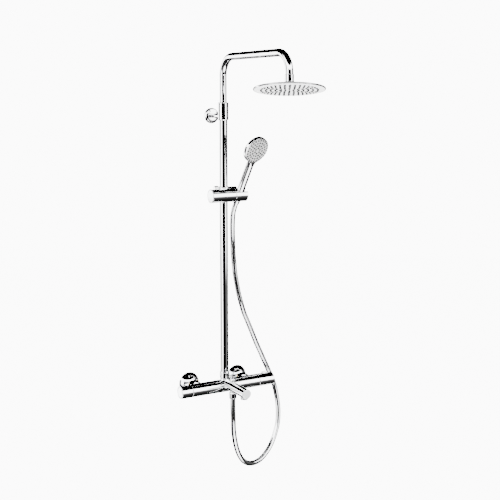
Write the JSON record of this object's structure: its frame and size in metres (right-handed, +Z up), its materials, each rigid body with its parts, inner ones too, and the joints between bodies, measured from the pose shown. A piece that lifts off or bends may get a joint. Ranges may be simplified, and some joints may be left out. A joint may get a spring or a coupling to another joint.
{
  "type": "rainfall shower column",
  "caption": "Wall-mounted chrome bath and shower column: thermostatic bar mixer with spout, telescopic riser, round overhead shower, sliding handset holder and hose.",
  "frame": {"origin": "midpoint between the two wall inlets, on the face of the wall", "axes": "+X to the right seen from the room, +Y into the wall, +Z up the column"},
  "size_m": [0.326, 0.5268, 1.1444],
  "materials": {
    "chrome_brass": "polished chrome plate on brass",
    "plated_plastic": "chrome plated ABS, mirror gloss",
    "raw_brass": "turned",
    "stainless": "drawn and machined",
    "washer_rubber": "matte",
    "inner_plastic": "moulded acetal",
    "spray_face": "satin silver",
    "nozzle_silicone": "soft silicone",
    "hose_pvc": "smooth silver PVC hose"
  },
  "bodies": {
    "root": {"mixer_body": "chrome_brass", "wall_union_left": "raw_brass", "wall_union_right": "raw_brass", "union_nuts": "chrome_brass", "fibre_washers": "washer_rubber", "wall_flange_left": "chrome_brass", "wall_flange_right": "chrome_brass", "check_valves": "inner_plastic", "thermostat_cartridge": "inner_plastic", "flow_headwork": "raw_brass", "spout_body": "chrome_brass", "aerator_housing": "chrome_brass", "aerator_insert": "inner_plastic", "diverter_spring": "stainless", "hose_nut": "chrome_brass", "riser_nut": "chrome_brass", "riser_tube": "chrome_brass", "sleeve_collar": "chrome_brass", "grub_screw": "stainless", "bracket_arm": "chrome_brass", "bracket_rosette": "chrome_brass", "wall_plate": "stainless", "wall_screws": "stainless", "hose_lower": "hose_pvc"},
    "temperature_grip": {"temperature_spindle": "raw_brass", "temperature_handle": "chrome_brass", "temperature_cap": "chrome_brass", "temperature_screw": "stainless", "safety_spring": "stainless"},
    "safety_stop": {"safety_button": "chrome_brass"},
    "flow_grip": {"flow_spindle": "raw_brass", "flow_handle": "chrome_brass", "flow_cap": "chrome_brass", "flow_screw": "stainless", "eco_spring": "stainless"},
    "eco_stop": {"eco_button": "chrome_brass"},
    "diverter": {"diverter_knob": "chrome_brass", "diverter_valve": "raw_brass"},
    "telescope": {"telescope_guide": "inner_plastic"},
    "arm": {"overhead_arm": "chrome_brass", "ball_nut": "chrome_brass"},
    "seat": {"ball_seat": "washer_rubber"},
    "head": {"head_socket": "chrome_brass", "head_back": "chrome_brass", "spray_plate": "spray_face", "nozzle_mat": "nozzle_silicone"},
    "slider": {"slider_body": "plated_plastic", "slider_bush": "inner_plastic", "slider_cap": "plated_plastic", "friction_washer": "washer_rubber", "hose_middle": "hose_pvc"},
    "lock": {"lock_knob": "plated_plastic"},
    "holder": {"swivel_holder": "plated_plastic", "swivel_screw": "stainless", "hose_top": "hose_pvc"},
    "cone": {"cone_nut": "chrome_brass"},
    "handset": {"handset_shell": "plated_plastic", "handset_face": "spray_face", "handset_nozzles": "nozzle_silicone", "flow_regulator": "inner_plastic"}
  },
  "joints": [
    {"name": "temperature_turn", "type": "hinge", "parent": "root", "child": "temperature_grip", "pos_m": [-0.12, -0.072, 0], "axis": [-1, 0, 0], "range_deg": [-150, 120]},
    {"name": "safety_press", "type": "slide", "parent": "temperature_grip", "child": "safety_stop", "axis": [0, 0, -1], "range_m": [0, 0.003], "stiffness_N_per_m": 300, "springref_m": -0.002, "deforming": ["safety_spring"]},
    {"name": "flow_turn", "type": "hinge", "parent": "root", "child": "flow_grip", "pos_m": [0.12, -0.072, 0], "axis": [1, 0, 0], "range_deg": [-90, 90]},
    {"name": "eco_press", "type": "slide", "parent": "flow_grip", "child": "eco_stop", "axis": [0, 0, -1], "range_m": [0, 0.003], "stiffness_N_per_m": 300, "springref_m": -0.002, "deforming": ["eco_spring"]},
    {"name": "diverter_pull", "type": "slide", "parent": "root", "child": "diverter", "axis": [0, 0, 1], "range_m": [0, 0.009], "stiffness_N_per_m": 200, "springref_m": -0.004, "deforming": ["diverter_spring"]},
    {"name": "telescope_extend", "type": "slide", "parent": "root", "child": "telescope", "axis": [0, 0, 1], "range_m": [-0.05, 0.2]},
    {"name": "arm_swivel", "type": "hinge", "parent": "telescope", "child": "arm", "pos_m": [0, -0.072, 0.7], "axis": [0, 0, 1], "range_deg": [-70, 70]},
    {"name": "head_tilt", "type": "hinge", "parent": "arm", "child": "seat", "pos_m": [0, -0.41, 0.819], "axis": [-0.8746, 0.4848, 0], "range_deg": [-21.5, 3.5]},
    {"name": "head_roll", "type": "hinge", "parent": "seat", "child": "head", "pos_m": [0, -0.41, 0.819], "axis": [-0.4782, -0.8626, 0.165], "range_deg": [-12, 12]},
    {"name": "slider_slide", "type": "slide", "parent": "root", "child": "slider", "axis": [0, 0, 1], "range_m": [-0.38, 0.17], "deforming": ["hose_lower"]},
    {"name": "lock_turn", "type": "hinge", "parent": "slider", "child": "lock", "pos_m": [-0.024, -0.072, 0.547], "axis": [-1, 0, 0], "range_deg": [-180, 90]},
    {"name": "holder_tilt", "type": "hinge", "parent": "slider", "child": "holder", "pos_m": [0.035, -0.094, 0.53], "axis": [1, 0, 0], "range_deg": [-25, 35], "deforming": ["hose_middle"]},
    {"name": "handset_lift", "type": "slide", "parent": "holder", "child": "cone", "axis": [0.1086, -0.454, 0.8844], "range_m": [0, 0.04], "deforming": ["hose_top"]},
    {"name": "handset_turn", "type": "hinge", "parent": "cone", "child": "handset", "pos_m": [0.035, -0.094, 0.53], "axis": [0.1086, -0.454, 0.8844], "continuous": true}
  ]
}
